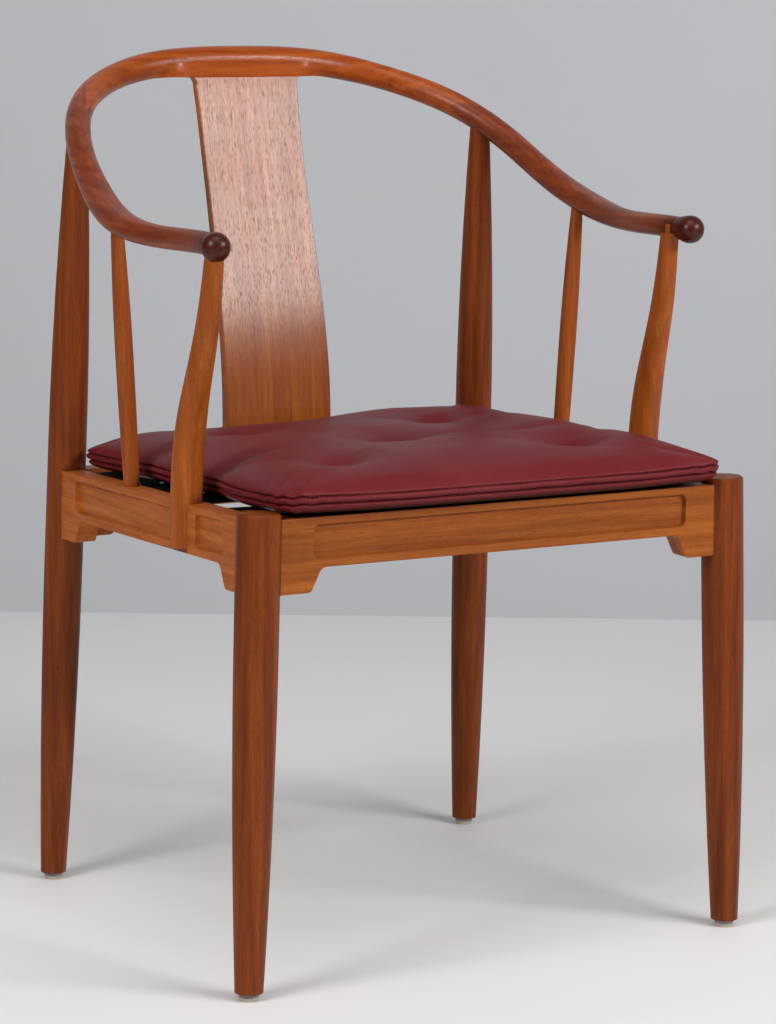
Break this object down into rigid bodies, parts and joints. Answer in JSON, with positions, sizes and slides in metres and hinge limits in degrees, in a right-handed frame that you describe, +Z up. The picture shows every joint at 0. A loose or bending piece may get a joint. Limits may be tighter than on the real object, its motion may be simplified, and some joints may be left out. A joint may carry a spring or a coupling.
{
  "type": "horseshoe back armchair",
  "caption": "Wooden armchair with a bent horseshoe crest and arm rail, a curved back splat, round tapered legs, panelled seat rails and a loose tufted leather cushion.",
  "frame": {"origin": "on the floor under the middle of the chair's bounding box, between the four feet", "axes": "+Z up, front of the chair towards -Y, +X to the right as seen from the front"},
  "size_m": [0.548, 0.5619, 0.8203],
  "materials": {
    "bow_wood": "satin lacquer, red brown",
    "splat_wood": "satin lacquer, fine pores",
    "frame_wood": "satin lacquer, orange brown",
    "leather": "smooth, semi matt, dark red",
    "webbing": "woven strap, matt black",
    "tack_steel": "blued",
    "glide_plastic": "matt grey",
    "felt": "pressed felt, beige"
  },
  "bodies": {
    "chair": {"back_splat": "splat_wood", "crest_rail": "bow_wood", "cross_strap_1": "webbing", "cross_strap_2": "webbing", "cross_strap_3": "webbing", "cross_strap_4": "webbing", "front_left_felt_pad": "felt", "front_left_glide": "glide_plastic", "front_left_leg": "frame_wood", "front_right_felt_pad": "felt", "front_right_glide": "glide_plastic", "front_right_leg": "frame_wood", "front_seat_rail": "frame_wood", "left_arm_post": "frame_wood", "left_arm_rail": "bow_wood", "left_arm_spindle": "frame_wood", "left_seat_rail": "frame_wood", "long_strap_1": "webbing", "long_strap_2": "webbing", "long_strap_3": "webbing", "long_strap_4": "webbing", "rear_left_felt_pad": "felt", "rear_left_glide": "glide_plastic", "rear_left_leg": "frame_wood", "rear_right_felt_pad": "felt", "rear_right_glide": "glide_plastic", "rear_right_leg": "frame_wood", "rear_seat_rail": "frame_wood", "right_arm_post": "frame_wood", "right_arm_rail": "bow_wood", "right_arm_spindle": "frame_wood", "right_seat_rail": "frame_wood", "webbing_tacks": "tack_steel"},
    "cushion": {"seat_cushion": "leather"}
  },
  "joints": [
    {"name": "cushion_lift", "type": "slide", "parent": "chair", "child": "cushion", "axis": [0, 0, 1], "range_m": [0, 0.1]}
  ]
}
